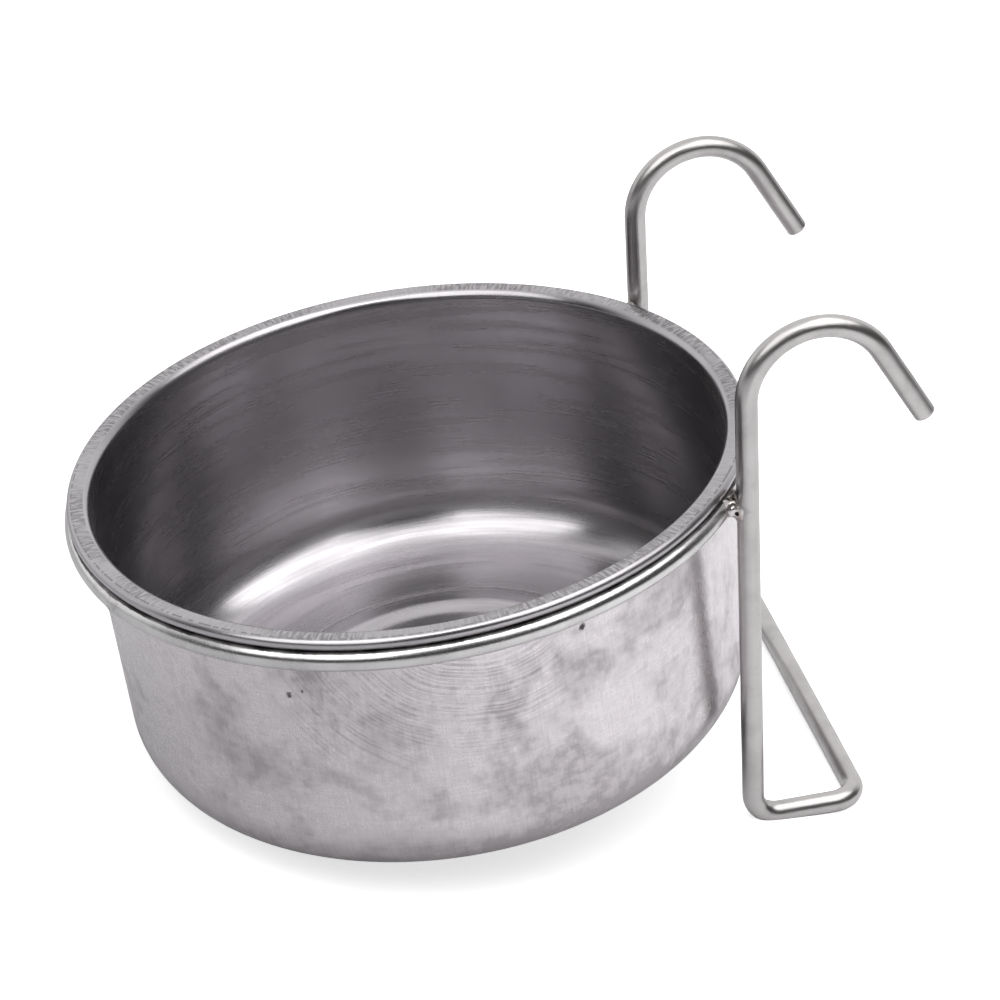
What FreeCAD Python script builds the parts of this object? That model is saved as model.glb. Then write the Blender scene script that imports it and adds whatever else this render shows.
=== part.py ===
"""Hook-on feeding cup for a cage or hutch wall, in millimetres, +Z up.

A drawn stainless cup hangs by its rolled rim in a wire ring. The ring is welded to one long wire,
bent into two hooks that go over a cage bar, two uprights and a stand-off bar that rests on the wall.
The origin is the centre of the cup's base, on the cup's axis. +X points to the cage wall and +Y
runs along the stand-off bar. The bent wire is mirrored across the plane Y = 0.
"""
import FreeCAD, Part

import math
import os

from FreeCAD import Vector

# ---------------------------------------------------------------- driving dimensions
# The cup.
CUP_HEIGHT = 55.0            # base to the top of the rim
SHEET = 0.6                  # thickness of the drawn sheet
RIM_OD = 124.0
RIM_OVERHANG = 3.6           # how far the rim stands out past the top of the wall
WALL_DRAFT = 0.4             # how far the wall comes in from the rim's top to the base
BASE_CORNER_R = 11.2         # outside radius between wall and base
RIM_SHOULDER_R = 1.8         # food-side radius over which the wall turns out into the rim
RIM_HEM_R = 1.1              # outside radius of the rolled edge, so the rim is twice this tall
RIM_RETURN = 1.3             # how far the rolled edge comes back towards the wall
BASE_DISC_R = 26.7           # flat disc in the middle of the base
BASE_BEAD_INSIDE = 3.0       # width of the slope from that disc up to the raised ring round it
BASE_BEAD_TOP = 3.5          # width of the raised ring's flat top
BASE_BEAD_OUTSIDE = 2.2      # width of the slope from there down to the flat that the cup stands on
BASE_BEAD_RISE = 1.0

# The wire and the ring.
WIRE_D = 4.0
RING_TO_WALL = 0.53          # radial room between the ring and the cup's wall
RING_TO_RIM = 0.05           # height left between the ring and the rim that sits on it
BUTT_GAP = 1.6               # length of ring wire that the butt weld takes
BUTT_WELD_PROUD = 0.25       # how much thicker than the wire the butt weld is, in radius
BUTT_WELD_OFFSET = 0.22      # it is moved outwards and down by this, so it is flush with the cup's side
BUTT_WELD_AT = 203.0         # degrees round from +X

# The bent frame.
UPRIGHT_SPACING = 76.0       # between the two uprights, centre to centre
UPRIGHT_TO_RING = 0.4        # gap between the wires, which the weld bridges
FRAME_LEAN = 4.2             # degrees that the uprights lean towards the wall at the top
BELOW_RING = 66.5            # ring's level down to the stand-off legs, along the uprights
ABOVE_RING = 20.0            # ring's level up to where the hook starts
STAND_OFF = 20.2             # uprights to the stand-off bar
FRAME_BEND_R = 4.8           # centreline radius of the four lower bends
HOOK_R = 12.9                # centreline radius of a hook
HOOK_TURN = 150.0            # degrees of bend in a hook
HOOK_LEAD = 15.8             # straight end of a hook
HOOK_END_CHAMFER = 0.4

# The welds that join the ring to the uprights.
UPRIGHT_WELD_SPREAD = 1.1    # how far they spread past each wire's middle
UPRIGHT_WELD_TO_RIM = 0.3    # room that they leave under and round the rim

# ---------------------------------------------------------------- what follows from them
WIRE_R = WIRE_D / 2
WALL_TOP_R = RIM_OD / 2 - RIM_OVERHANG
WALL_BASE_R = WALL_TOP_R - WALL_DRAFT
WALL_LEAN = math.atan(WALL_DRAFT / CUP_HEIGHT)
RING_R = WALL_TOP_R + RING_TO_WALL + WIRE_R
RIM_UNDERSIDE = CUP_HEIGHT - 2 * RIM_HEM_R
RING_Z = RIM_UNDERSIDE - RING_TO_RIM - WIRE_R
UPRIGHT_Y = UPRIGHT_SPACING / 2
UPRIGHT_AXIS_R = RING_R + WIRE_D + UPRIGHT_TO_RING
UPRIGHT_X = math.sqrt(UPRIGHT_AXIS_R**2 - UPRIGHT_Y**2)
AXIS = Vector(0, 0, 1)
ORIGIN = Vector(0, 0, 0)


# ---------------------------------------------------------------- the cup
class Outline:
    """A chain of lines and arcs in the plane Y = 0, each starting where the last one ended."""

    def __init__(self, x, z):
        self.at = Vector(x, 0, z)
        self.edges = []

    def line(self, x, z):
        end = Vector(x, 0, z)
        self.edges.append(Part.LineSegment(self.at, end).toShape())
        self.at = end
        return self

    def arc(self, centre, radius, from_deg, to_deg):
        """An arc about centre, (x, z), that starts at the chain's end, at from_deg."""
        def on_arc(degrees):
            a = math.radians(degrees)
            return Vector(centre[0] + radius * math.cos(a), 0, centre[1] + radius * math.sin(a))

        end = on_arc(to_deg)
        middle = on_arc((from_deg + to_deg) / 2)
        self.edges.append(Part.Arc(self.at, middle, end).toShape())
        self.at = end
        return self


def cup_skin(depth):
    """One face of the sheet, from the axis to the rolled edge: the food side at depth 0."""
    low = SHEET - depth
    high = low + BASE_BEAD_RISE
    bead_start = BASE_DISC_R + BASE_BEAD_INSIDE
    bead_end = bead_start + BASE_BEAD_TOP
    lean_deg = math.degrees(WALL_LEAN)

    # Corner between base and wall, tangent to both.
    wall_at_corner = WALL_BASE_R + BASE_CORNER_R * math.tan(WALL_LEAN)
    corner = (wall_at_corner - BASE_CORNER_R / math.cos(WALL_LEAN), BASE_CORNER_R)
    corner_r = BASE_CORNER_R - SHEET + depth

    # Shoulder where the wall turns out into the rim, tangent to both.
    shoulder_z = CUP_HEIGHT - RIM_SHOULDER_R
    food_wall = WALL_BASE_R + shoulder_z * math.tan(WALL_LEAN) - SHEET / math.cos(WALL_LEAN)
    shoulder = (food_wall + RIM_SHOULDER_R / math.cos(WALL_LEAN), shoulder_z)
    shoulder_r = RIM_SHOULDER_R - depth

    hem = (RIM_OD / 2 - RIM_HEM_R, CUP_HEIGHT - RIM_HEM_R)
    hem_r = RIM_HEM_R - depth

    skin = Outline(0, low)
    skin.line(BASE_DISC_R, low)
    skin.line(bead_start, high)
    skin.line(bead_end, high)
    skin.line(bead_end + BASE_BEAD_OUTSIDE, low)
    skin.line(corner[0], low)
    skin.arc(corner, corner_r, -90, -lean_deg)
    skin.line(
        shoulder[0] - shoulder_r * math.cos(WALL_LEAN),
        shoulder[1] + shoulder_r * math.sin(WALL_LEAN),
    )
    skin.arc(shoulder, shoulder_r, 180 - lean_deg, 90)
    skin.line(hem[0], hem[1] + hem_r)
    skin.arc(hem, hem_r, 90, -90)
    skin.line(hem[0] - RIM_RETURN, hem[1] - hem_r)
    return skin


def cup():
    """The drawn cup, one sheet all the way from the middle of the base to the rolled edge."""
    food_side = cup_skin(0)
    outside = cup_skin(SHEET)
    edge = Part.LineSegment(food_side.at, outside.at).toShape()
    middle = Part.LineSegment(Vector(0, 0, 0), Vector(0, 0, SHEET)).toShape()
    loop = Part.Wire(Part.sortEdges(food_side.edges + outside.edges + [edge, middle])[0])
    return Part.Face(loop).revolve(ORIGIN, AXIS, 360)


# ---------------------------------------------------------------- the ring
def support_ring():
    """The wire ring that the rim sits on, open only where its butt weld is."""
    gap_deg = math.degrees(BUTT_GAP / RING_R)
    section = Part.Circle(Vector(RING_R, 0, RING_Z), Vector(0, 1, 0), WIRE_R).toShape()
    ring = Part.Face(Part.Wire(section)).revolve(ORIGIN, AXIS, 360 - gap_deg)
    ring.rotate(ORIGIN, AXIS, BUTT_WELD_AT + gap_deg / 2)
    return ring


def ring_butt_weld(ring):
    """The weld that closes the ring, dressed flush where the cup sits."""
    a = math.radians(BUTT_WELD_AT)
    reach = RING_R + BUTT_WELD_OFFSET
    centre = Vector(reach * math.cos(a), reach * math.sin(a), RING_Z - BUTT_WELD_OFFSET)
    along_wire = Vector(-math.sin(a), math.cos(a), 0)
    return Part.makeSphere(WIRE_R + BUTT_WELD_PROUD, centre, along_wire).cut(ring)


# ---------------------------------------------------------------- the bent frame
class BentWire:
    """A wire's centreline as a bending program: straights, and bends about an axis."""

    def __init__(self, start, heading):
        self.at = start
        self.heading = heading
        self.edges = []

    def straight(self, length):
        end = self.at + self.heading * length
        self.edges.append(Part.LineSegment(self.at, end).toShape())
        self.at = end

    def bend(self, axis, radius, degrees):
        """Turn by degrees about an axis, which the right-hand rule gives a sense."""
        centre = self.at + axis.cross(self.heading) * radius

        def turned(vector, angle):
            return FreeCAD.Rotation(axis, angle).multVec(vector)

        spoke = self.at - centre
        middle = centre + turned(spoke, degrees / 2)
        end = centre + turned(spoke, degrees)
        self.edges.append(Part.Arc(self.at, middle, end).toShape())
        self.at = end
        self.heading = turned(self.heading, degrees)


def half_frame_path():
    """The rear half of the frame's centreline, from the end of the stand-off bar to the hook's tip."""
    foot_z = RING_Z - BELOW_RING
    start = Vector(UPRIGHT_X + STAND_OFF, UPRIGHT_Y - FRAME_BEND_R, foot_z)
    wire = BentWire(start, Vector(0, 1, 0))
    wire.bend(Vector(0, 0, 1), FRAME_BEND_R, 90)
    wire.straight(STAND_OFF - 2 * FRAME_BEND_R)
    wire.bend(Vector(0, 1, 0), FRAME_BEND_R, 90)
    wire.straight(BELOW_RING - FRAME_BEND_R + ABOVE_RING)
    wire.bend(Vector(0, 1, 0), HOOK_R, HOOK_TURN)
    wire.straight(HOOK_LEAD)
    return start, wire


def hook_frame():
    """One wire: hook, upright, stand-off leg, stand-off bar, leg, upright and hook."""
    bar_end, rear = half_frame_path()
    mirrored = [e.mirror(ORIGIN, Vector(0, 1, 0)) for e in rear.edges]
    other_end = Vector(bar_end.x, -bar_end.y, bar_end.z)
    bar = Part.LineSegment(other_end, bar_end).toShape()
    path = Part.Wire(Part.sortEdges(mirrored + [bar] + rear.edges)[0])

    first = path.OrderedEdges[0]
    tip = first.valueAt(first.FirstParameter)
    along = first.tangentAt(first.FirstParameter)
    section = Part.Wire(Part.Circle(tip, along, WIRE_R).toShape())
    frame = path.makePipeShell([section], True, False)
    tips = (rear.at, Vector(rear.at.x, -rear.at.y, rear.at.z))
    ends = [e for e in frame.Edges if any(is_end_circle(e, p) for p in tips)]
    frame = frame.makeChamfer(HOOK_END_CHAMFER, ends)
    print("frame wire length %.1f, volume %.1f of %.1f" % (
        path.Length, frame.Volume, math.pi * WIRE_R**2 * path.Length))
    frame.rotate(Vector(UPRIGHT_X, 0, RING_Z), Vector(0, 1, 0), FRAME_LEAN)
    return frame


def is_end_circle(edge, tip):
    """True for the round edge where the wire was cut off at tip."""
    curve = edge.Curve
    return isinstance(curve, Part.Circle) and curve.Center.distanceToPoint(tip) < WIRE_R / 10


# ---------------------------------------------------------------- the welds on the uprights
def upright_weld(side, ring, frame):
    """The weld between the ring and one upright. side is +1 at the rear and -1 at the front."""
    outwards = Vector(UPRIGHT_X, side * UPRIGHT_Y, 0) / UPRIGHT_AXIS_R
    centre = outwards * (RING_R + WIRE_R + UPRIGHT_TO_RING / 2) + AXIS * RING_Z
    weld_r = WIRE_R + UPRIGHT_WELD_SPREAD
    room_r = RIM_OD / 2 + UPRIGHT_WELD_TO_RIM
    room = Part.makeCylinder(room_r, weld_r, AXIS * (RIM_UNDERSIDE - UPRIGHT_WELD_TO_RIM), AXIS)
    return Part.makeSphere(weld_r, centre, outwards).cut(room).cut(ring).cut(frame)


# ---------------------------------------------------------------- build
def build():
    ring = support_ring()
    frame = hook_frame()
    return {
        "cup": cup(),
        "support_ring": ring,
        "ring_butt_weld": ring_butt_weld(ring),
        "hook_frame": frame,
        "front_weld": upright_weld(-1, ring, frame),
        "rear_weld": upright_weld(1, ring, frame),
    }


os.makedirs("parts", exist_ok=True)
for name, shape in build().items():
    box = shape.BoundBox
    print("%-15s solids %d valid %s volume %9.2f  x %.2f..%.2f  y %.2f..%.2f  z %.2f..%.2f" % (
        name, len(shape.Solids), shape.isValid(), shape.Volume,
        box.XMin, box.XMax, box.YMin, box.YMax, box.ZMin, box.ZMax))
    shape.exportStep(os.path.join("parts", name + ".step"))
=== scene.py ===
"""Looks for a hook-on feeding cup: a drawn steel cup in a welded wire holder."""
import functools
import math

import bmesh
import bpy
from bpy.props import FloatProperty, FloatVectorProperty, IntProperty, PointerProperty
from mathutils import Matrix, Vector, noise


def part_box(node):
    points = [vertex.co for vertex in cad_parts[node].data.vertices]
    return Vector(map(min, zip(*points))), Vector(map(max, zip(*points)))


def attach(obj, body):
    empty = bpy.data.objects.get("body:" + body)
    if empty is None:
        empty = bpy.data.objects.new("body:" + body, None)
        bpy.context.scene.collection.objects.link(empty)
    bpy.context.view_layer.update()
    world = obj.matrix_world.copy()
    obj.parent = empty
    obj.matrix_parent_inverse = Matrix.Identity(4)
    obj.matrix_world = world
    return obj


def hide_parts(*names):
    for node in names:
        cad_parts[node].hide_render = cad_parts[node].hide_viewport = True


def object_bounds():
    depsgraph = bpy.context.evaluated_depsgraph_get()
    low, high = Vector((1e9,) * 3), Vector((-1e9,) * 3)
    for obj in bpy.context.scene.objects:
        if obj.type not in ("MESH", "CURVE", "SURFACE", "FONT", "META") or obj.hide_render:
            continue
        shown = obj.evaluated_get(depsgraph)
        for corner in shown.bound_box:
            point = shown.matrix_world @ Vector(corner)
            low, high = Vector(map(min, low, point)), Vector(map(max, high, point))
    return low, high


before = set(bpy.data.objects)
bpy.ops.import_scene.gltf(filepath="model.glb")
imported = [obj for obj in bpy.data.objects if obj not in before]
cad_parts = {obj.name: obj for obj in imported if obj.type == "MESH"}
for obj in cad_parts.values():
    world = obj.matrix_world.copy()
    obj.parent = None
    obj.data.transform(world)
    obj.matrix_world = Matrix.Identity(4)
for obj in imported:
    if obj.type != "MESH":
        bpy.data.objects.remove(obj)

bl_info = {
    "name": "Hook-on Feeding Cup",
    "version": (1, 0, 0),
    "blender": (4, 5, 0),
    "location": "3D View > Sidebar > Feeding Cup",
    "description": "Builds a drawn steel feeding cup in its wire holder, with its studio",
    "category": "Object",
}

CAD_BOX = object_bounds()
CUP_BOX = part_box("cup")
RING_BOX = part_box("support_ring")
HOOKS_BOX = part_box("hook_frame")
MM = 0.001


# ---------------------------------------------------------------- sizes and colours
def length(name, description, default_mm):
    """A size property, given in millimetres and held in metres."""
    return FloatProperty(name=name, description=description, default=default_mm * MM,
                         unit="LENGTH", precision=5)


def angle(name, description, degrees):
    return FloatProperty(name=name, description=description, default=math.radians(degrees),
                         unit="ROTATION")


def colour(name, description, rgb):
    return FloatVectorProperty(name=name, description=description, default=rgb,
                               subtype="COLOR", size=3, min=0.0, max=1.0)


class CupSizes(bpy.types.PropertyGroup):
    """The drawn cup."""
    sheet: length("Sheet", "Thickness of the drawn sheet", 0.6)
    overhang: length("Rim overhang", "How far the rim stands out past the top of the wall", 3.6)
    draft: length("Wall draft", "How far the wall comes in from rim to base", 0.4)
    corner: length("Base corner", "Outside radius between wall and base", 11.2)
    shoulder: length("Rim shoulder", "Radius over which the wall turns out into the rim", 1.8)
    hem: length("Rolled edge", "Outside radius of the rolled edge", 1.1)
    hem_return: length("Edge return", "How far the rolled edge comes back", 1.3)
    disc: length("Base disc", "Radius of the flat disc in the base", 26.7)
    bead_inside: length("Bead inside slope", "Width of the bead's inner slope", 3.0)
    bead_top: length("Bead top", "Width of the bead's flat top", 3.5)
    bead_outside: length("Bead outside slope", "Width of the bead's outer slope", 2.2)
    bead_rise: length("Bead rise", "Height of the pressed ring in the base", 1.0)
    bead_blend: length("Bead blend", "How far the bead's edges are rounded", 0.35)
    ripple: length("Wall ripple", "Depth of the drawn wall's slight waves", 0.045)
    sides: IntProperty(name="Sides", description="Steps round the cup", default=400, min=24)


class WireSizes(bpy.types.PropertyGroup):
    """The ring and the bent frame."""
    gap: length("Wire gap", "Gap between the ring and the uprights", 0.4)
    below: length("Below ring", "Ring's level down to the stand-off legs", 66.5)
    above: length("Above ring", "Ring's level up to where the hooks start", 20.0)
    stand_off: length("Stand-off", "Uprights to the stand-off bar", 20.2)
    bend: length("Bend", "Centreline radius of the lower bends", 4.8)
    hook: length("Hook", "Centreline radius of the hooks", 12.9)
    hook_turn: angle("Hook turn", "How far each hook is bent", 150.0)
    lead: length("Hook lead", "Straight end of each hook", 15.8)
    lean: angle("Lean", "How far the uprights lean towards the cage wall", 4.2)
    chamfer: length("End chamfer", "Chamfer on the cut ends of the wire", 0.4)
    butt_at: angle("Butt weld place", "Where the ring is closed, round from +X", 203.0)
    butt_gap: length("Butt gap", "Length of wire that the butt weld takes", 1.6)
    step: length("Step", "Length of one step along the wire", 0.7)
    sides: IntProperty(name="Sides", description="Steps round the wire", default=36, min=8)


class WeldSizes(bpy.types.PropertyGroup):
    """The welds."""
    reach: length("Weld reach", "How far a weld runs out along the wires", 4.2)
    fillet: length("Weld fillet", "How softly a weld runs into the wires", 2.6)
    lump: length("Weld lumps", "Height of the frozen lumps", 0.3)
    pit: length("Weld pit", "Radius of the blowhole in the front weld", 0.6)
    butt_length: length("Butt weld length", "Length of the ring's weld", 5.0)
    butt_proud: length("Butt weld height", "How far the ring's weld stands proud", 0.22)


class FinishSettings(bpy.types.PropertyGroup):
    """The finishes."""
    cup: colour("Cup steel", "Colour of the cup's steel", (0.715, 0.680, 0.702))
    # Darker than the cup steel partly for the duller turned finish and partly as painted shade
    # inside the cup.
    cup_inside: colour("Cup inside", "Colour of the cup's turned inside", (0.480, 0.464, 0.481))
    ring: colour("Ring steel", "Colour of the polished ring", (0.710, 0.700, 0.700))
    wire: colour("Wire steel", "Colour of the tumbled wire", (0.540, 0.524, 0.518))
    weld: colour("Weld steel", "Colour of bare weld metal", (0.680, 0.655, 0.650))
    # Soot is also the colour of the painted shade in the crevice under the cup's rim and on the
    # ring's top.
    soot_and_shade: colour("Soot", "Colour of burnt skin and packed grime", (0.030, 0.027, 0.028))
    straw: colour("Heat tint", "Colour of the heat tint beside a weld", (0.500, 0.400, 0.300))


class StageSettings(bpy.types.PropertyGroup):
    """The studio."""
    azimuth: angle("Azimuth", "Camera's turn round the cup", -8.07)
    elevation: angle("Elevation", "Camera's height above the cup's level", 31.42)
    roll: angle("Roll", "Camera's roll, because the cup stands tilted on its bar", -8.44)
    distance: length("Distance", "Camera to the point that it looks at", 594.1)
    aim: FloatVectorProperty(name="Aim", description="Point looked at, from the box's middle",
                             default=(0.00222, -0.00797, 0.01157), subtype="TRANSLATION")
    lens: FloatProperty(name="Lens", description="Focal length in millimetres", default=118.34)
    floor: colour("Floor", "Colour of the floor", (0.88, 0.88, 0.89))
    # Painted shade: the floor is darker towards the left, seen in the steel's reflections.
    floor_left_shade: colour("Floor left", "Colour of the floor towards the left", (0.52, 0.52, 0.53))


GROUPS = {"cup": CupSizes, "wire": WireSizes, "weld": WeldSizes, "finish": FinishSettings,
          "stage": StageSettings}


def sizes(name):
    return getattr(bpy.context.scene.feeding_cup, name)


# ---------------------------------------------------------------- places, from the frame
def places():
    """Where the wires run, in metres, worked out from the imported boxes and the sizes."""
    s = sizes("wire")
    wire_r = (RING_BOX[1].z - RING_BOX[0].z) / 2
    ring_r = RING_BOX[1].y - wire_r
    upright_y = HOOKS_BOX[1].y - wire_r
    upright_axis_r = ring_r + 2 * wire_r + s.gap
    return {
        "wire_r": wire_r,
        "ring_r": ring_r,
        "ring_z": RING_BOX[1].z - wire_r,
        "upright_y": upright_y,
        "upright_x": math.sqrt(upright_axis_r ** 2 - upright_y ** 2),
        "rim_r": CUP_BOX[1].y,
        "base_z": CUP_BOX[0].z,
        "rim_z": CUP_BOX[1].z,
    }


def leaned(point, p):
    """A point of the upright frame, leaned towards the cage wall about the ring's level."""
    pivot = Vector((p["upright_x"], 0, p["ring_z"]))
    return pivot + Matrix.Rotation(sizes("wire").lean, 3, "Y") @ (point - pivot)


# ---------------------------------------------------------------- node building
COLUMN, ROW, ROWS = 180, 120, 5  # spacing of nodes in the editor


class Tree:
    """Adds nodes to a tree and joins them, so that each node is one line of code."""

    def __init__(self, tree):
        self.tree = tree
        self.column = 0

    def node(self, kind, links, **settings):
        """Adds a node. links maps an input's name or number to a socket or a plain value."""
        node = self.tree.nodes.new(kind)
        self.column += 1
        node.location = (COLUMN * self.column, -ROW * (self.column % ROWS))
        for key, value in settings.items():
            setattr(node, key, value)
        for key, value in links.items():
            if isinstance(value, bpy.types.NodeSocket):
                self.tree.links.new(value, node.inputs[key])
            else:
                node.inputs[key].default_value = value
        return node

    def add(self, kind, links=None, out=0, **settings):
        """Adds a node and returns one of its outputs."""
        return self.node(kind, links or {}, **settings).outputs[out]

    def math(self, operation, *values, clamp=False):
        return self.add("ShaderNodeMath", dict(enumerate(values)), operation=operation,
                        use_clamp=clamp)

    def times(self, a, b):
        return self.math("MULTIPLY", a, b)

    def vector(self, operation, *values, out=0):
        return self.add("ShaderNodeVectorMath", dict(enumerate(values)), out,
                        operation=operation)

    def ramp(self, value, low, high, start=0.0, end=1.0):
        """A smooth step: start below low, end above high."""
        links = {"Value": value, "From Min": low, "From Max": high, "To Min": start, "To Max": end}
        return self.add("ShaderNodeMapRange", links, interpolation_type="SMOOTHSTEP")

    def noise(self, vector, scale, detail=2.0, roughness=0.5):
        links = {"Vector": vector, "Scale": scale, "Detail": detail, "Roughness": roughness}
        return self.add("ShaderNodeTexNoise", links)

    def mix(self, factor, a, b):
        """A colour mix."""
        return self.add("ShaderNodeMix", {0: factor, 6: a, 7: b}, 2, data_type="RGBA")

    def attribute(self, name):
        """A number held at each of the piece's own points."""
        return self.add("ShaderNodeAttribute", attribute_name=name, out=2)

    def place(self):
        """Where a point is on its piece, as a vector, its parts, and its turn round the axis."""
        place = self.add("ShaderNodeTexCoord", out=3)
        parts = self.node("ShaderNodeSeparateXYZ", {"Vector": place}).outputs
        return place, parts, self.math("ARCTAN2", parts["Y"], parts["X"])

    def nearest(self, place, spots):
        """The distance to the nearest of some spots, each (point, radius)."""
        gaps = [self.math("SUBTRACT", self.vector("DISTANCE", place, spot, out=1), radius)
                for spot, radius in spots]
        return functools.reduce(lambda a, b: self.math("MINIMUM", a, b), gaps)


SOCKET_KINDS = {float: "NodeSocketFloat", int: "NodeSocketInt", tuple: "NodeSocketColor"}


def new_group(name, tree_type, inputs, outputs):
    """A node group and its two ends. Sockets are named, with a default or a kind of socket."""
    tree = bpy.data.node_groups.new(name, tree_type)
    for direction, rows in (("INPUT", inputs), ("OUTPUT", outputs)):
        for title, default in rows.items():
            plain = type(default) in SOCKET_KINDS
            socket = tree.interface.new_socket(
                title, in_out=direction,
                socket_type=SOCKET_KINDS[type(default)] if plain else default)
            if plain:
                socket.default_value = default
    return tree, tree.nodes.new("NodeGroupInput").outputs, tree.nodes.new("NodeGroupOutput").inputs


def put_out(tree, result, sockets):
    """Joins named sockets to a group's outputs and returns the group."""
    for name, socket in sockets.items():
        tree.links.new(socket, result[name])
    return tree


def rgba(rgb):
    return (*rgb, 1.0)


# ---------------------------------------------------------------- shared finish effects
def turned_lines_group():
    """Fine lines that run round the cup's axis, as on metal polished on a lathe."""
    tree, given, result = new_group("Turned lines", "ShaderNodeTree",
                                    {"Run": 0.0, "Pitch": 0.0005, "Broken": 3.0},
                                    {"Height": 0.0, "Bands": 0.0})
    t = Tree(tree)
    place = t.add("ShaderNodeTexCoord", out=3)
    flat = t.vector("MULTIPLY", place, (1.0, 1.0, 0.0))
    heading = t.vector("SCALE", t.vector("NORMALIZE", flat))
    tree.links.new(given["Broken"], heading.node.inputs["Scale"])
    lines = t.math("DIVIDE", given["Run"], given["Pitch"])
    up = t.add("ShaderNodeCombineXYZ", {"Z": lines})
    fine = t.noise(t.vector("ADD", heading, up), 1.0, 2.0, 0.5)
    slow_up = t.add("ShaderNodeCombineXYZ", {"Z": t.times(lines, 0.12)})
    slow = t.noise(t.vector("ADD", heading, slow_up), 1.0, 2.0)
    return put_out(tree, result, {"Height": fine, "Bands": slow})


def handling_group():
    """What use leaves on bare metal: clouded smudges, a mottled skin, pits and hair scratches."""
    tree, given, result = new_group("Handling marks", "ShaderNodeTree",
                                    {"Size": 0.012, "Pits": 0.5},
                                    {"Smudge": 0.0, "Mottle": 0.0, "Pit": 0.0, "Scratch": 0.0})
    t = Tree(tree)
    place = t.add("ShaderNodeTexCoord", out=3)
    cells = t.math("DIVIDE", 1.0, given["Size"])
    cloud = t.add("ShaderNodeTexNoise", {"Vector": place, "Scale": cells, "Detail": 6.0,
                                         "Roughness": 0.62, "Distortion": 0.35})
    smudge = t.ramp(cloud, 0.40, 0.68)
    mottle = t.noise(place, t.times(cells, 9.0), 4.0, 0.6)
    spots = t.add("ShaderNodeTexVoronoi", {"Vector": place, "Scale": t.times(cells, 2.2)})
    pit_size = t.times(given["Pits"], 0.05)
    ragged = t.math("MULTIPLY_ADD", mottle, 0.05, spots)
    pit = t.math("LESS_THAN", ragged, pit_size)
    hairs = [
        t.noise(t.vector("MULTIPLY", place, stretch), 1.0, 0.0)
        for stretch in ((3400.0, 28.0, 160.0), (60.0, 420.0, 3400.0))
    ]
    scratch = t.ramp(t.math("MAXIMUM", *hairs), 0.70, 0.82)
    return put_out(tree, result, {"Smudge": smudge, "Mottle": mottle, "Pit": pit,
                                  "Scratch": scratch})


def painted_shade_band_group():
    """Painted shade between two heights, as in the crevice where two pieces meet: dark, ragged at
    the edges.
    """
    tree, given, result = new_group("Painted shade band", "ShaderNodeTree",
                                    {"From Height": 0.05, "To Height": 0.053, "Soft": 0.0002},
                                    {"Shade": 0.0})
    t = Tree(tree)
    place = t.add("ShaderNodeTexCoord", out=3)
    height = t.add("ShaderNodeSeparateXYZ", {"Vector": place}, out=2)
    cells = t.math("DIVIDE", 0.14, given["Soft"])
    uneven = t.math("SUBTRACT", t.noise(place, cells, 3.0), 0.5)
    height = t.math("MULTIPLY_ADD", uneven, t.times(given["Soft"], 2.0), height)
    low, high, soft = (given[name] for name in ("From Height", "To Height", "Soft"))
    above = t.ramp(height, t.math("SUBTRACT", low, soft), low)
    below = t.ramp(height, high, t.math("ADD", high, soft), 1.0, 0.0)
    # Uneven strength of the painted shade along the band.
    patchy = t.ramp(t.noise(place, 160.0, 3.0), 0.35, 0.65, 0.62, 0.95)
    return put_out(tree, result, {"Shade": t.times(t.times(above, below), patchy)})


def steel_tone_group():
    """Bare steel's colour and roughness where it is clean, smudged or burnt, and where painted
    shade darkens it.
    """
    inputs = {"Clean": (0.6, 0.6, 0.6, 1.0), "Dark Colour": (0.05, 0.05, 0.05, 1.0),
              "Smudge": 0.0, "Burn And Shade": 0.0, "Rough Clean": 0.25, "Rough Smudged": 0.4}
    tree, given, result = new_group("Steel tone", "ShaderNodeTree", inputs,
                                    {"Color": "NodeSocketColor", "Roughness": 0.3})
    t = Tree(tree)
    dim = t.vector("MULTIPLY", given["Clean"], (0.58, 0.57, 0.575))
    dull = t.mix(given["Smudge"], given["Clean"], dim)
    tint = t.mix(given["Burn And Shade"], dull, given["Dark Colour"])
    spread = t.math("SUBTRACT", given["Rough Smudged"], given["Rough Clean"])
    rough = t.math("MULTIPLY_ADD", spread, given["Smudge"], given["Rough Clean"])
    burnt = t.math("MULTIPLY_ADD", given["Burn And Shade"], 0.25, rough)
    return put_out(tree, result, {"Color": tint, "Roughness": burnt})


def shared_group(maker):
    """The group that maker builds, built once."""
    made = bpy.data.node_groups.get(shared_group.names.get(maker, ""))
    if made is None:
        made = maker()
        shared_group.names[maker] = made.name
    return made


shared_group.names = {}


def place_group(t, maker, links):
    """Places a shared group in a material with its own values, and returns its outputs."""
    return t.node("ShaderNodeGroup", links, node_tree=shared_group(maker)).outputs


def new_steel(name, anisotropic=0.0, turn=0.0):
    """A bare metal material. Returns it with its tree and its surface shader."""
    material = bpy.data.materials.new(name)
    material.use_nodes = True
    shader = material.node_tree.nodes["Principled BSDF"]
    shader.inputs["Metallic"].default_value = 1.0
    shader.inputs["Anisotropic"].default_value = anisotropic
    shader.inputs["Anisotropic Rotation"].default_value = turn
    return material, Tree(material.node_tree), shader


def finish_steel(t, shader, tone, bumps):
    """Joins a tone group and a chain of (height, depth in metres) bumps to a shader."""
    t.tree.links.new(tone["Color"], shader.inputs["Base Color"])
    t.tree.links.new(tone["Roughness"], shader.inputs["Roughness"])
    normal = None
    for height, depth in bumps:
        links = {"Height": height, "Distance": depth, "Strength": 1.0}
        if normal is not None:
            links["Normal"] = normal
        normal = t.add("ShaderNodeBump", links)
    t.tree.links.new(normal, shader.inputs["Normal"])


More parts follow.
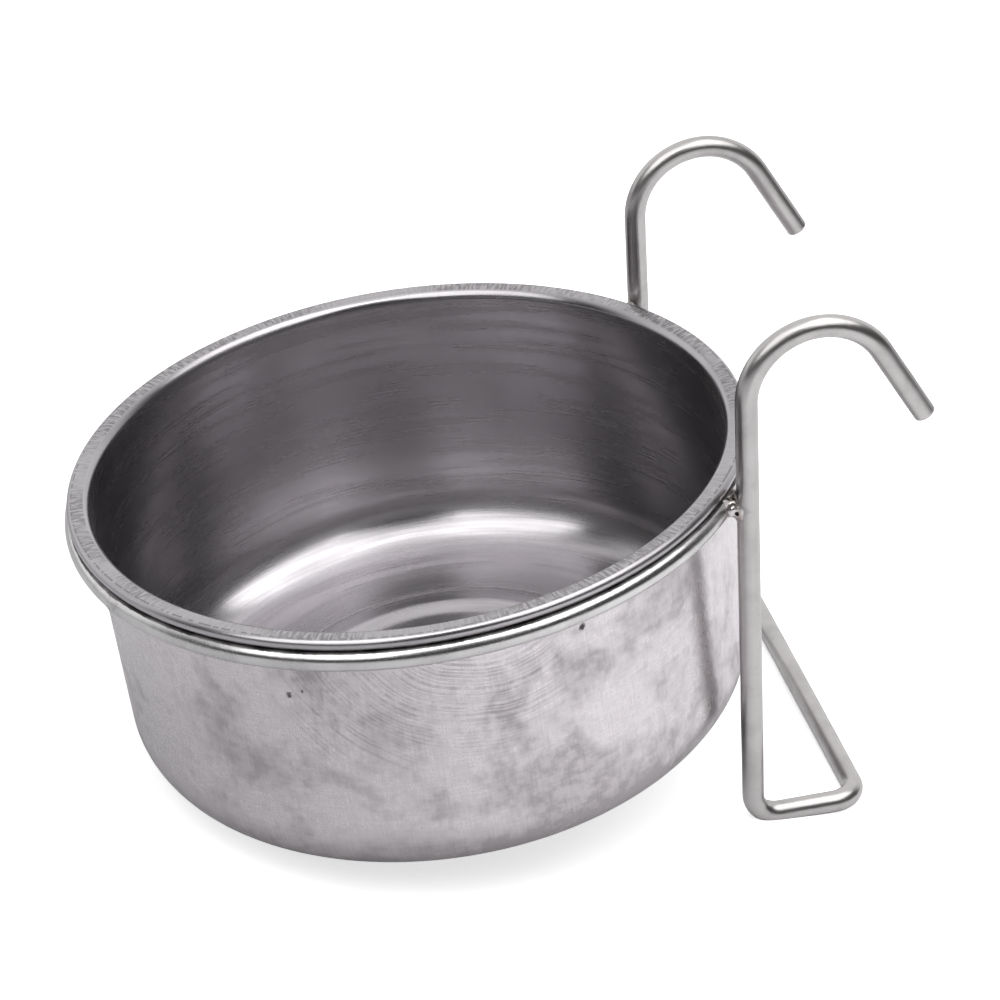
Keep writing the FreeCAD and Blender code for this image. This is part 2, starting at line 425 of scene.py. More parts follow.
# ---------------------------------------------------------------- the materials
def cup_steel():
    """Drawn sheet: turned bright inside, handled and swirled outside, chattered on the rim, with
    painted shade: a darker inside, a dark band under the rim and darkening towards the base.
    """
    f, p = sizes("finish"), places()
    material, t, shader = new_steel("drawn_cup_steel", anisotropic=0.7, turn=0.25)
    run = t.attribute("run")
    rim = t.attribute("rim")
    outside = t.attribute("outside")
    turned = place_group(t, turned_lines_group, {"Run": run, "Pitch": 0.00028, "Broken": 1.7})
    marks = place_group(t, handling_group, {"Size": 0.021, "Pits": 0.35})
    # Painted shade on the cup's outside from the ring's bottom up to under the rolled edge, where
    # the rim sits on the ring.
    crevice_shade = place_group(t, painted_shade_band_group, {
        "From Height": p["ring_z"] - p["wire_r"], "To Height": p["rim_z"] - 1.62 * MM,
        "Soft": 0.12 * MM})
    swirl, swirl_mask = swirl_marks(t, outside)
    chatter = rim_chatter(t, rim)
    streaks = wall_streaks(t)
    # Painted shade on the outside, darker towards the base: it stands in for the shaded floor that
    # the base corner reflects.
    foot = place_group(t, painted_shade_band_group, {"From Height": -1 * MM, "To Height": 5.0 * MM,
                                          "Soft": 8.0 * MM})

    food = t.math("SUBTRACT", t.math("SUBTRACT", 1.0, outside), rim)
    fine, bands = turned["Height"], turned["Bands"]
    inner = t.math("MULTIPLY_ADD", t.ramp(bands, 0.35, 0.68), 0.42,
                   t.times(t.ramp(fine, 0.40, 0.70), 0.14))
    inner = t.times(t.math("MULTIPLY_ADD", marks["Smudge"], 0.15, inner), food)
    lines = t.times(t.ramp(swirl, 0.45, 0.60), swirl_mask)
    outer = t.math("MULTIPLY_ADD", t.ramp(marks["Smudge"], 0.1, 0.8), 0.45,
                   t.times(t.ramp(streaks, 0.42, 0.62), 0.17))
    worn = t.times(t.ramp(marks["Mottle"], 0.40, 0.66),
                  t.math("MULTIPLY_ADD", marks["Smudge"], 0.30, 0.12))
    outer = t.math("ADD", worn, t.math("MULTIPLY_ADD", lines, 0.50, outer))
    # The painted shade towards the base goes in with the outside's smudges.
    outer = t.times(t.math("MULTIPLY_ADD", foot[0], 0.85, outer), outside)
    top = t.math("MULTIPLY_ADD", rim, 0.22, t.times(chatter, 0.50))
    grime = t.math("ADD", top, t.math("ADD", inner, outer), clamp=True)
    pits = t.math("MAXIMUM", marks["Pit"], wall_pits(t))
    # burn holds the pits, the painted shade under the rim and the rim's tool chatter.
    burn = t.math("MAXIMUM", t.times(pits, 0.85),
                  t.times(crevice_shade[0], outside))
    burn = t.math("MAXIMUM", burn, t.times(chatter, 0.35))
    # The inside's darker colour is partly painted shade.
    clean = t.mix(t.math("SUBTRACT", 1.0, outside), rgba(f.cup), rgba(f.cup_inside))
    tone = place_group(t, steel_tone_group, {
        "Clean": clean, "Dark Colour": rgba(f.soot_and_shade), "Smudge": grime, "Burn And Shade": burn,
        "Rough Clean": t.math("MULTIPLY_ADD", outside, 0.06, 0.20), "Rough Smudged": 0.38,
    })
    link_tangent(t, shader)
    turning = t.times(fine, t.math("MULTIPLY_ADD", food, 0.6, 0.4))
    finish_steel(t, shader, tone, [
        (turning, 0.000008),
        (lines, -0.000012),
        (t.times(streaks, outside), 0.00001),
        (t.times(marks["Mottle"], outside), 0.00002),
        (t.times(marks["Scratch"], -1.0), 0.000003),
        (chatter, -0.00003),
        (pits, -0.0003),
    ])
    return material


def wall_streaks(t):
    """Fine streaks up the drawn wall, crossed by fainter ones round it."""
    _, parts, turn = t.place()
    up, across = (
        t.add("ShaderNodeCombineXYZ", {"X": t.times(turn, x), "Y": t.times(parts["Z"], y)})
        for x, y in ((150.0, 90.0), (7.0, 2300.0))
    )
    streak = t.times(t.noise(up, 1.0, 3.0, 0.65), 0.6)
    return t.math("MULTIPLY_ADD", t.noise(across, 1.0, 2.0, 0.6), 0.4, streak)


def wall_pits(t):
    """A few small pits rolled into the sheet."""
    # Each is (degrees round from +X, height, radius), the last two in millimetres.
    spots = ((-123.0, 41.0, 0.75), (-71.5, 45.5, 0.8), (-120.5, 42.0, 0.4), (-104.0, 13.0, 0.3),
             (24.0, 30.0, 0.4), (154.0, 22.0, 0.35))
    wall_r = places()["rim_r"] - sizes("cup").overhang
    place = t.add("ShaderNodeTexCoord", out=3)
    ragged = t.times(t.noise(place, 2600.0, 3.0), 0.9 * MM)
    turns = [math.radians(degrees) for degrees, _, _ in spots]
    near = t.nearest(place, [
        ((wall_r * math.cos(a), wall_r * math.sin(a), height * MM), radius * MM)
        for a, (_, height, radius) in zip(turns, spots)
    ])
    return t.ramp(t.math("ADD", near, ragged), -0.1 * MM, 0.45 * MM, 1.0, 0.0)


def link_tangent(t, shader):
    """Grain direction: round the axis, from the piece's own map."""
    tangent = t.add("ShaderNodeTangent", direction_type="UV_MAP", uv_map="turned")
    t.tree.links.new(tangent, shader.inputs["Tangent"])


def swirl_marks(t, outside):
    """Arcs left by a polishing pad on the front of the wall, as lines and as a mask."""
    centre_angle = math.radians(-87.0)
    centre_z = 0.063
    wall_r = places()["rim_r"] - sizes("cup").overhang
    place, parts, turn = t.place()
    across = t.times(t.math("SUBTRACT", turn, centre_angle), wall_r)
    up = t.math("SUBTRACT", parts["Z"], centre_z)
    reach = t.math("SQRT", t.math("ADD", t.math("POWER", across, 2.0), t.math("POWER", up, 2.0)))
    bent = t.math("MULTIPLY_ADD", t.noise(place, 60.0, 2.0), 0.003, reach)
    rings = t.add("ShaderNodeTexNoise", {"W": t.times(bent, 1700.0), "Scale": 1.0,
                                         "Detail": 2.0, "Roughness": 0.6}, noise_dimensions="1D")
    left = t.ramp(across, -0.042, -0.030)
    right = t.ramp(across, 0.002, 0.018, 1.0, 0.0)
    low = t.ramp(parts["Z"], 0.020, 0.038)
    patch = t.ramp(t.noise(place, 170.0, 4.0, 0.7), 0.38, 0.58, 0.1, 1.0)
    mask = t.times(t.times(left, right), t.times(low, outside))
    return rings, t.times(mask, patch)


def rim_chatter(t, rim):
    """Short marks across the rim from the tool that rolled it, and a broken line along it."""
    place, _, turn = t.place()
    reach = t.vector("LENGTH", t.vector("MULTIPLY", place, (1.0, 1.0, 0.0)), out=1)
    vector = t.add("ShaderNodeCombineXYZ", {"X": t.times(turn, 105.0),
                                            "Y": t.times(reach, 300.0)})
    ticks = t.ramp(t.noise(vector, 1.0, 3.0, 0.7), 0.40, 0.60)
    patch = t.ramp(t.noise(place, 45.0, 2.0), 0.36, 0.56, 0.15, 1.0)
    line_r = places()["rim_r"] - 0.95 * MM
    off_line = t.math("ABSOLUTE", t.math("SUBTRACT", reach, line_r))
    dashes = t.times(t.ramp(off_line, 0.08 * MM, 0.22 * MM, 1.0, 0.0),
                    t.ramp(t.noise(vector, 0.5, 1.0), 0.42, 0.52))
    ticks = t.times(ticks, patch)
    return t.times(t.math("MAXIMUM", ticks, dashes), rim)


def wire_grain(t):
    """Lines drawn along a wire, from its own run and turn."""
    along = t.attribute("along")
    around = t.attribute("around")
    turn = t.times(around, 2 * math.pi)
    vector = t.add("ShaderNodeCombineXYZ", {
        "X": t.times(t.math("COSINE", turn), 7.0),
        "Y": t.times(t.math("SINE", turn), 7.0),
        "Z": t.times(along, 40.0),
    })
    return t.noise(vector, 1.0, 3.0, 0.7)


def ring_steel():
    """The ring and its dressed butt weld: polished wire with faint drawing lines."""
    f, p = sizes("finish"), places()
    material, t, shader = new_steel("polished_ring_wire")
    marks = place_group(t, handling_group, {"Size": 0.010, "Pits": 0.2})
    # Painted shade along the ring's top, where it runs under the cup's rim.
    crevice_shade = place_group(t, painted_shade_band_group, {
        "From Height": p["ring_z"] + p["wire_r"] - 0.27 * MM, "To Height": p["rim_z"],
        "Soft": 0.10 * MM})
    scuff = t.attribute("hollow")
    # burn holds the painted shade on the ring's top and the heat tint by the welds.
    burn = t.math("MAXIMUM", crevice_shade[0], heat_mask(t, 0.45))
    grain = wire_grain(t)
    smudge = t.math("MULTIPLY_ADD", marks["Smudge"], 0.35, t.times(grain, 0.35))
    tone = place_group(t, steel_tone_group, {
        "Clean": rgba(f.ring), "Dark Colour": rgba(f.soot_and_shade),
        "Smudge": t.math("ADD", smudge, scuff, clamp=True),
        "Burn And Shade": t.math("MAXIMUM", burn, t.ramp(scuff, 0.35, 0.8, 0.0, 0.7)),
        "Rough Clean": 0.20, "Rough Smudged": 0.36,
    })
    finish_steel(t, shader, tone, [(grain, 0.000012), (marks["Mottle"], 0.00002)])
    return material


def wire_steel():
    """The bent frame: tumbled wire with a soft satin skin."""
    f = sizes("finish")
    material, t, shader = new_steel("tumbled_frame_wire")
    marks = place_group(t, handling_group, {"Size": 0.008, "Pits": 0.25})
    grain = wire_grain(t)
    smudge = t.math("MULTIPLY_ADD", marks["Smudge"], 0.30, t.times(grain, 0.30))
    tone = place_group(t, steel_tone_group, {
        "Clean": rgba(f.wire), "Dark Colour": rgba(f.soot_and_shade), "Smudge": smudge,
        "Burn And Shade": t.math("MAXIMUM", heat_mask(t, 0.5), t.times(marks["Pit"], 0.8)),
        "Rough Clean": 0.27, "Rough Smudged": 0.38,
    })
    finish_steel(t, shader, tone, [
        (grain, 0.000016),
        (marks["Mottle"], 0.000018),
        (marks["Pit"], -0.0001),
    ])
    return material


def heat_mask(t, strength):
    """Soot close to the welds on the uprights, fading along the wires."""
    p = places()
    place = t.add("ShaderNodeTexCoord", out=3)
    near = t.nearest(place, [(weld_point(p, side)[:], 0.0) for side in (-1, 1)])
    cloud = t.math("MULTIPLY_ADD", t.noise(place, 600.0, 3.0), 0.003, near)
    return t.ramp(cloud, 0.0032, 0.0052, strength, 0.0)


def weld_steel():
    """Weld metal: bright frozen lumps with burnt skin in the hollows."""
    f = sizes("finish")
    material, t, shader = new_steel("bright_weld_metal")
    place = t.add("ShaderNodeTexCoord", out=3)
    hollow = t.attribute("hollow")
    marks = place_group(t, handling_group, {"Size": 0.003, "Pits": 0.5})
    ripple = t.noise(place, 1100.0, 4.0, 0.6)
    burn = t.math("ADD", t.times(hollow, 1.2),
                  t.ramp(ripple, 0.56, 0.70, 0.0, 0.6), clamp=True)
    tint = t.mix(t.ramp(t.noise(place, 450.0, 2.0), 0.50, 0.66, 0.0, 0.5), rgba(f.weld),
                 rgba(f.straw))
    tone = place_group(t, steel_tone_group, {
        "Clean": tint, "Dark Colour": rgba(f.soot_and_shade), "Smudge": marks["Smudge"],
        "Burn And Shade": burn, "Rough Clean": 0.20, "Rough Smudged": 0.36,
    })
    finish_steel(t, shader, tone, [(ripple, 0.00008), (marks["Mottle"], 0.00003)])
    return material


# ---------------------------------------------------------------- the cup's shape
def base_height(r, s):
    """Height of the pressed base above its flat, at radius r, with the bead's edges rounded."""
    start = s.disc
    top = start + s.bead_inside
    back = top + s.bead_top
    end = back + s.bead_outside

    def sharp(x):
        if x <= start or x >= end:
            return 0.0
        if x < top:
            return (x - start) / (top - start)
        if x <= back:
            return 1.0
        return (end - x) / (end - back)

    taps = (-1.0, -0.5, 0.0, 0.5, 1.0)
    return s.bead_rise * sum(sharp(r + k * s.bead_blend) for k in taps) / len(taps)


def cup_side(p, s, depth):
    """Points (radius, height) of one face of the sheet, from the axis to the rolled edge."""
    floor_z = p["base_z"] + s.sheet - depth
    wall_top_r = p["rim_r"] - s.overhang
    lean = math.atan(s.draft / (p["rim_z"] - p["base_z"]))
    base_r = wall_top_r - s.draft
    corner_x = base_r + s.corner * math.tan(lean) - s.corner / math.cos(lean)
    corner_z = p["base_z"] + s.corner
    corner_r = s.corner - s.sheet + depth
    bead_end = s.disc + s.bead_inside + s.bead_top + s.bead_outside

    radii = [s.disc * k / 9 for k in range(1, 10)]
    fine = 30
    margin = 0.6 * MM
    radii[-1] = s.disc - margin
    bead = bead_end - s.disc + 2 * margin
    radii += [s.disc - margin + bead * k / fine for k in range(1, fine + 1)]
    radii += [bead_end + margin + (corner_x - bead_end - margin) * k / 6 for k in range(1, 7)]
    points = [(r, floor_z + base_height(r, s)) for r in radii]

    points += arc((corner_x, corner_z), corner_r, -90, -math.degrees(lean), 16)[1:]
    shoulder_r = s.shoulder - depth
    shoulder_z = p["rim_z"] - s.shoulder
    food_wall = base_r + (shoulder_z - p["base_z"]) * math.tan(lean) - s.sheet / math.cos(lean)
    shoulder = (food_wall + s.shoulder / math.cos(lean), shoulder_z)
    bend = arc(shoulder, shoulder_r, 180 - math.degrees(lean), 90, 10)
    points += between(points[-1], bend[0], 26)
    points += bend
    hem = (p["rim_r"] - s.hem, p["rim_z"] - s.hem)
    roll = arc(hem, s.hem - depth, 90, -90, 14)
    points += between(points[-1], roll[0], 4)
    points += roll
    points += between(points[-1], (hem[0] - s.hem_return, points[-1][1]), 3)
    points.append((hem[0] - s.hem_return, points[-1][1]))
    return points


def arc(centre, radius, start, end, steps):
    """Points on an arc, both ends included. Angles in degrees."""
    turns = [math.radians(start + (end - start) * k / steps) for k in range(steps + 1)]
    return [(centre[0] + radius * math.cos(a), centre[1] + radius * math.sin(a)) for a in turns]


def between(a, b, steps):
    """The points between a and b, without either."""
    return [(a[0] + (b[0] - a[0]) * k / steps, a[1] + (b[1] - a[1]) * k / steps)
            for k in range(1, steps)]


def runs(points):
    """How far along the sheet each point is from the axis."""
    far, last, out = 0.0, (0.0, points[0][1]), []
    for point in points:
        far += math.dist(point, last)
        out.append(far)
        last = point
    return out


def ripple_at(x, y, z, s, p):
    """A small radial wave of the drawn wall, none at the base and the rim."""
    share = (z - p["base_z"]) / (p["rim_z"] - p["base_z"])
    fade = max(0.0, min(1.0, share / 0.25)) * max(0.0, min(1.0, (1.0 - share) / 0.15))
    return s.ripple * fade * noise.noise(Vector((x * 42, y * 42, z * 26 + 5.0)))


def cup_mesh():
    """The whole cup as one closed sheet, spun round its axis."""
    p, s = places(), sizes("cup")
    food = cup_side(p, s, 0.0)
    outer = cup_side(p, s, s.sheet)
    profile = food + outer[::-1]
    run = runs(food) + [r + 1.0 for r in runs(outer)[::-1]]
    rim_low, rim_high = p["rim_r"] - s.overhang + 0.6 * MM, p["rim_r"] - 0.72 * MM
    rows = len(profile)
    verts, rim, outside = [], [], []
    for k in range(s.sides):
        a = 2 * math.pi * k / s.sides
        for i, (r, z) in enumerate(profile):
            x, y = r * math.cos(a), r * math.sin(a)
            push = 1.0 + ripple_at(x, y, z, s, p) / r
            verts.append((x * push, y * push, z))
    for i, (r, z) in enumerate(profile):
        on_top = rim_low < r < rim_high and z > p["rim_z"] - 0.35 * MM
        rim.append(1.0 if on_top else 0.0)
        outside.append(0.0 if i < len(food) - 8 else 1.0)
    faces = []
    for k in range(s.sides):
        a, b = k * rows, (k + 1) % s.sides * rows
        faces += [(a + i, a + i + 1, b + i + 1, b + i) for i in range(rows - 1)]
    floor, under = len(verts), len(verts) + 1
    verts += [(0, 0, food[0][1]), (0, 0, outer[0][1])]
    for k in range(s.sides):
        a, b = k * rows, (k + 1) % s.sides * rows
        faces += [(floor, a, b), (under, b + rows - 1, a + rows - 1)]
    mesh = bpy.data.meshes.new("cup")
    mesh.from_pydata(verts, [], faces)
    set_values(mesh, "run", [run[i] for _ in range(s.sides) for i in range(rows)] + [0.0, 1.0])
    set_values(mesh, "rim", rim * s.sides + [0.0, 0.0])
    set_values(mesh, "outside", outside * s.sides + [0.0, 1.0])
    turned_map(mesh, run + [0.0, 1.0], rows, s.sides)
    return mesh


def set_values(mesh, name, values):
    """Writes one number per vertex as a named attribute."""
    mesh.attributes.new(name, "FLOAT", "POINT").data.foreach_set("value", values)


def turned_map(mesh, run, rows, sides):
    """A map with u round the axis and v along the sheet."""
    layer = mesh.uv_layers.new(name="turned")
    for polygon in mesh.polygons:
        steps = [v // rows for v in polygon.vertices if v < rows * sides]
        wraps = max(steps) - min(steps) > 1
        middle = sum(steps) / len(steps)
        for loop, v in zip(polygon.loop_indices, polygon.vertices):
            if v < rows * sides:
                step = v // rows + (sides if wraps and v // rows == 0 else 0)
                layer.data[loop].uv = (step / sides, run[v % rows])
            else:
                layer.data[loop].uv = (middle / sides, run[rows + v - rows * sides])


# ---------------------------------------------------------------- the wires' shape
def geometry_group(name, inputs):
    """A geometry tree with named inputs. Returns its builder, inputs and output."""
    shape = {"Geometry": "NodeSocketGeometry"}
    tree, given, result = new_group(name, "GeometryNodeTree", shape | inputs, shape)
    return Tree(tree), given, result


def sweep(t, path, given, result):
    """The end of a wire's tree: sweeps a round section and keeps where each point is."""
    even = t.add("GeometryNodeResampleCurve", {"Curve": path, "Length": given["Step"]},
                 mode="LENGTH")
    spot = t.add("GeometryNodeSplineParameter", out=1)
    marked = t.add("GeometryNodeStoreNamedAttribute", {"Geometry": even, "Name": "along",
                                                       "Value": spot}, domain="POINT")
    section = t.add("GeometryNodeCurvePrimitiveCircle", {"Resolution": given["Sides"],
                                                         "Radius": given["Wire Radius"]})
    share = t.add("GeometryNodeSplineParameter", out=0)
    section = t.add("GeometryNodeStoreNamedAttribute", {"Geometry": section, "Name": "around",
                                                        "Value": share}, domain="POINT")
    tube = t.add("GeometryNodeCurveToMesh", {"Curve": marked, "Profile Curve": section,
                                             "Fill Caps": True})
    whole = t.add("GeometryNodeRealizeInstances", {"Geometry": tube})
    steel = t.add("GeometryNodeSetMaterial", {"Geometry": whole,
                                              "Material": given["Material"]})
    t.tree.links.new(steel, result["Geometry"])


WIRE_INPUTS = {"Wire Radius": 0.002, "Step": 0.001, "Sides": 32, "Material": "NodeSocketMaterial"}


def bent_wire_group():
    """Bends a wire: rounds the corners of a path by their own radius, then sweeps it."""
    t, given, result = geometry_group("Bent wire", WIRE_INPUTS)
    path = t.add("GeometryNodeMeshToCurve", {"Mesh": given["Geometry"]})
    radius = t.add("GeometryNodeInputNamedAttribute", {"Name": "bend_radius"}, data_type="FLOAT")
    steps = t.add("GeometryNodeInputNamedAttribute", {"Name": "bend_steps"}, data_type="INT")
    fillet = t.add("GeometryNodeFilletCurve", {"Curve": path, "Radius": radius, "Count": steps,
                                               "Limit Radius": False}, mode="POLY")
    sweep(t, fillet, given, result)
    return t.tree


def ring_group():
    """The ring: an arc all the way round but for the gap that its butt weld fills."""
    extra = {"Ring Radius": 0.06, "Height": 0.05, "Start": 0.0, "Sweep": 6.2}
    t, given, result = geometry_group("Ring wire", WIRE_INPUTS | extra)
    path = t.add("GeometryNodeCurveArc", {
        "Resolution": 720, "Radius": given["Ring Radius"],
        "Start Angle": given["Start"], "Sweep Angle": given["Sweep"]})
    lift = t.add("ShaderNodeCombineXYZ", {"Z": given["Height"]})
    raised = t.add("GeometryNodeSetPosition", {"Geometry": path, "Offset": lift})
    sweep(t, raised, given, result)
    return t.tree


def grown(name, mesh, tree, values):
    """Runs a geometry tree on a mesh and returns the result as a plain mesh."""
    holder = bpy.data.objects.new(name + "_path", mesh)
    bpy.context.scene.collection.objects.link(holder)
    modifier = holder.modifiers.new(name, "NODES")
    modifier.node_group = tree
    for item in tree.interface.items_tree:
        if item.item_type == "SOCKET" and item.in_out == "INPUT" and item.name in values:
            modifier[item.identifier] = values[item.name]
    graph = bpy.context.evaluated_depsgraph_get()
    made = bpy.data.meshes.new_from_object(holder.evaluated_get(graph), depsgraph=graph)
    holder.modifiers.clear()
    bpy.data.objects.remove(holder)
    made.name = name
    return made


def path_mesh(name, corners):
    """Corners (point, bend radius, steps) joined in order, for the bending tree."""
    mesh = bpy.data.meshes.new(name)
    points = [corner[0] for corner in corners]
    mesh.from_pydata(points, [(i, i + 1) for i in range(len(points) - 1)], [])
    set_values(mesh, "bend_radius", [corner[1] for corner in corners])
    counts = mesh.attributes.new("bend_steps", "INT", "POINT")
    counts.data.foreach_set("value", [corner[2] for corner in corners])
    return mesh


def frame_corners():
    """Corners of the bent frame, from the front hook's tip to the rear hook's tip."""
    p, s = places(), sizes("wire")
    x, y, z = p["upright_x"], p["upright_y"], p["ring_z"]
    tangent = s.hook * math.tan(s.hook_turn / 2)
    peak_z = z + s.above + tangent
    lead = tangent + s.lead
    tip = Vector((x + lead * math.sin(s.hook_turn), y, peak_z + lead * math.cos(s.hook_turn)))
    foot_z = z - s.below
    rear = [
        (Vector((x + s.stand_off, y, foot_z)), s.bend, 14),
        (Vector((x, y, foot_z)), s.bend, 14),
        (Vector((x, y, peak_z)), s.hook, 60),
        (tip, 0.0, 1),
    ]
    front = [(Vector((q.x, -q.y, q.z)), radius, steps) for q, radius, steps in rear[::-1]]
    return [(leaned(q, p), radius, steps) for q, radius, steps in front + rear]


def weld_point(p, side):
    """The middle of the gap between the ring and one upright."""
    outwards = Vector((p["upright_x"], side * p["upright_y"], 0)).normalized()
    reach = p["ring_r"] + p["wire_r"] + sizes("wire").gap / 2
    return outwards * reach + Vector((0, 0, p["ring_z"]))


def soften_wire(mesh, dents, rough):
    """Presses small dents (point, radius, depth) into a wire and gives it a slight unevenness."""
    normals = [v.normal.copy() for v in mesh.vertices]
    for v, out in zip(mesh.vertices, normals):
        shift = rough * noise.noise(v.co * 160)
        for point, radius, depth in dents:
            gap = (v.co - point).length / radius
            if gap < 1.0:
                shift -= depth * (1 - gap * gap) ** 2
        v.co += out * shift


def round_ends(mesh, size):
    """Chamfers the edges where a wire was cut off."""
    work = bmesh.new()
    work.from_mesh(mesh)
    caps = [f for f in work.faces if len(f.verts) > 4]
    edges = [e for f in caps for e in f.edges]
    bmesh.ops.bevel(work, geom=edges, offset=size, segments=3, profile=0.6, affect="EDGES",
                    clamp_overlap=True)
    work.to_mesh(mesh)
    work.free()


# ---------------------------------------------------------------- the welds' shape
LUMPS_PER_METRE = 420
WELD_SKIN = 0.22 * MM
NEAR_ENOUGH = 0.02 * MM


def soft_union(a, b, k):
    """The distance to two shapes, run together over a length k."""
    h = max(k - abs(a - b), 0.0) / k
    return min(a, b) - h * h * k / 4


def upright_weld_mesh(side):
    """Weld metal that fills the corners between the ring and an upright."""
    p, s = places(), sizes("weld")
    centre = weld_point(p, side)
    ring_z, ring_r, wire_r = p["ring_z"], p["ring_r"], p["wire_r"]
    foot = leaned(Vector((p["upright_x"], side * p["upright_y"], ring_z - 0.02)), p)
    head = leaned(Vector((p["upright_x"], side * p["upright_y"], ring_z + 0.02)), p)
    axis = (head - foot).normalized()

    def lumpy(q):
        return noise.fractal(q * LUMPS_PER_METRE + Vector((side * 7.0, 0, 0)), 0.8, 2.0, 3)

    def field(q):
        to_ring = math.hypot(math.hypot(q.x, q.y) - ring_r, q.z - ring_z) - wire_r
        to_upright = (q - foot - axis * (q - foot).dot(axis)).length - wire_r
        far = (q - centre).length / s.reach
        skin = WELD_SKIN * (1 - 2.2 * far * far)
        lumps = s.lump * lumpy(q)
        return soft_union(to_ring, to_upright, s.fillet) - skin - lumps * max(0.0, 1 - far * far)

    blowhole = centre + Vector((-0.35, -1.9, -0.6)) * MM
    mesh = ball_mesh("weld", 5)
    hollow = []
    for v in mesh.vertices:
        way = v.co.normalized()
        reach = s.reach * (0.90 + 0.12 * noise.noise(way * 3 + Vector((side * 2.0, 1, 0))))
        gap = field(centre + way * reach)
        while reach > 10 * NEAR_ENOUGH and gap > NEAR_ENOUGH:
            reach -= max(NEAR_ENOUGH, 0.6 * gap)
            gap = field(centre + way * reach)
        spot = centre + way * reach
        burnt = max(0.0, -1.6 * lumpy(spot) - 0.25)
        deep = 1 - (spot - blowhole).length / s.pit
        if side < 0 and deep > 0:
            spot -= way * deep * 1.2 * MM
            burnt = 1.0
        v.co = under_rim(spot, p)
        hollow.append(min(1.0, burnt))
    set_values(mesh, "hollow", hollow)
    return mesh


def under_rim(spot, p):
    """Keeps weld metal out of the way of the rim as the cup lifts out."""
    room = p["rim_r"] + 0.3 * MM
    ceiling = p["ring_z"] + p["wire_r"] - 0.1 * MM
    if math.hypot(spot.x, spot.y) < room and spot.z > ceiling:
        spot.z = ceiling
    return spot


def ball_mesh(name, fineness):
    """A ball of even triangles, one metre across, to be pulled into shape."""
    work = bmesh.new()
    bmesh.ops.create_icosphere(work, subdivisions=fineness, radius=0.5)
    mesh = bpy.data.meshes.new(name)
    work.to_mesh(mesh)
    work.free()
    return mesh


def butt_weld_mesh():
    """A dressed collar of weld metal on the ring, proud outwards and below."""
    p, s, w = places(), sizes("weld"), sizes("wire")
    steps, sides = 40, 48
    half = s.butt_length / 2 / p["ring_r"]
    verts, faces, hollow = [], [], []
    for i in range(steps + 1):
        t = i / steps * 2 - 1
        a = w.butt_at + t * half
        hump = max(0.0, 1 - t * t) ** 0.7
        for j in range(sides):
            b = 2 * math.pi * j / sides
            out, up = math.cos(b), math.sin(b)
            open_side = 0.5 + 0.5 * (out - up) / math.sqrt(2)
            lump = noise.fractal(Vector((a * 60, out * 1.4, up * 1.4)), 0.9, 2.0, 3)
            raised = hump * open_side * (s.butt_proud + 0.10 * MM * lump)
            r = p["wire_r"] - 0.05 * MM * (1 - hump) + raised
            reach = p["ring_r"] + r * out
            verts.append((reach * math.cos(a), reach * math.sin(a), p["ring_z"] + r * up))
            hollow.append(max(0.0, -1.1 * lump - 0.1) * hump * (0.4 + 0.6 * open_side))
    for i in range(steps):
        for j in range(sides):
            k = (j + 1) % sides
            faces.append((i * sides + j, (i + 1) * sides + j, (i + 1) * sides + k, i * sides + k))
    faces.append(tuple(range(sides)))
    faces.append(tuple(steps * sides + j for j in range(sides))[::-1])
    mesh = bpy.data.meshes.new("ring_butt_weld")
    mesh.from_pydata(verts, [], faces)
    set_values(mesh, "hollow", hollow)
    outward(mesh)
    return mesh


def outward(mesh):
    """Turns every face of a closed mesh outwards."""
    work = bmesh.new()
    work.from_mesh(mesh)
    bmesh.ops.recalc_face_normals(work, faces=work.faces)
    work.to_mesh(mesh)
    work.free()


# ---------------------------------------------------------------- pieces
def add_piece(name, mesh, body, node, material=None, crease=math.radians(60)):
    """Puts a finished mesh in the scene as a piece that stands for a CAD node."""
    if not mesh.polygons:
        raise RuntimeError(f"{name} came out empty")
    mesh.name = name
    if material is not None:
        mesh.materials.clear()
        mesh.materials.append(material)
    mesh.shade_smooth()
    mesh.set_sharp_from_angle(angle=crease)
    piece = bpy.data.objects.new(name, mesh)
    bpy.context.scene.collection.objects.link(piece)
    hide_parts(node)
    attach(piece, body)


class FEEDINGCUP_OT_cup(bpy.types.Operator):
    """Makes the drawn cup with its rolled rim and pressed base"""
    bl_idname = "feeding_cup.cup"
    bl_label = "Drawn Cup"

    def execute(self, context):
        mesh = cup_mesh()
        outward(mesh)
        add_piece("drawn_cup", mesh, "cup", "cup", cup_steel())
        return {"FINISHED"}


class FEEDINGCUP_OT_ring(bpy.types.Operator):
    """Makes the polished wire ring that the rim sits on"""
    bl_idname = "feeding_cup.ring"
    bl_label = "Support Ring"

    def execute(self, context):
        p, s = places(), sizes("wire")
        gap = s.butt_gap / p["ring_r"]
        mesh = grown("ring_wire", bpy.data.meshes.new("empty"), ring_group(), {
            "Wire Radius": p["wire_r"], "Step": s.step, "Sides": s.sides, "Material": ring_steel(),
            "Ring Radius": p["ring_r"], "Height": p["ring_z"],
            "Start": s.butt_at + gap / 2, "Sweep": 2 * math.pi - gap,
        })
        soften_wire(mesh, [], 0.02 * MM)
        outward(mesh)
        add_piece("ring_wire", mesh, "holder", "support_ring")
        return {"FINISHED"}


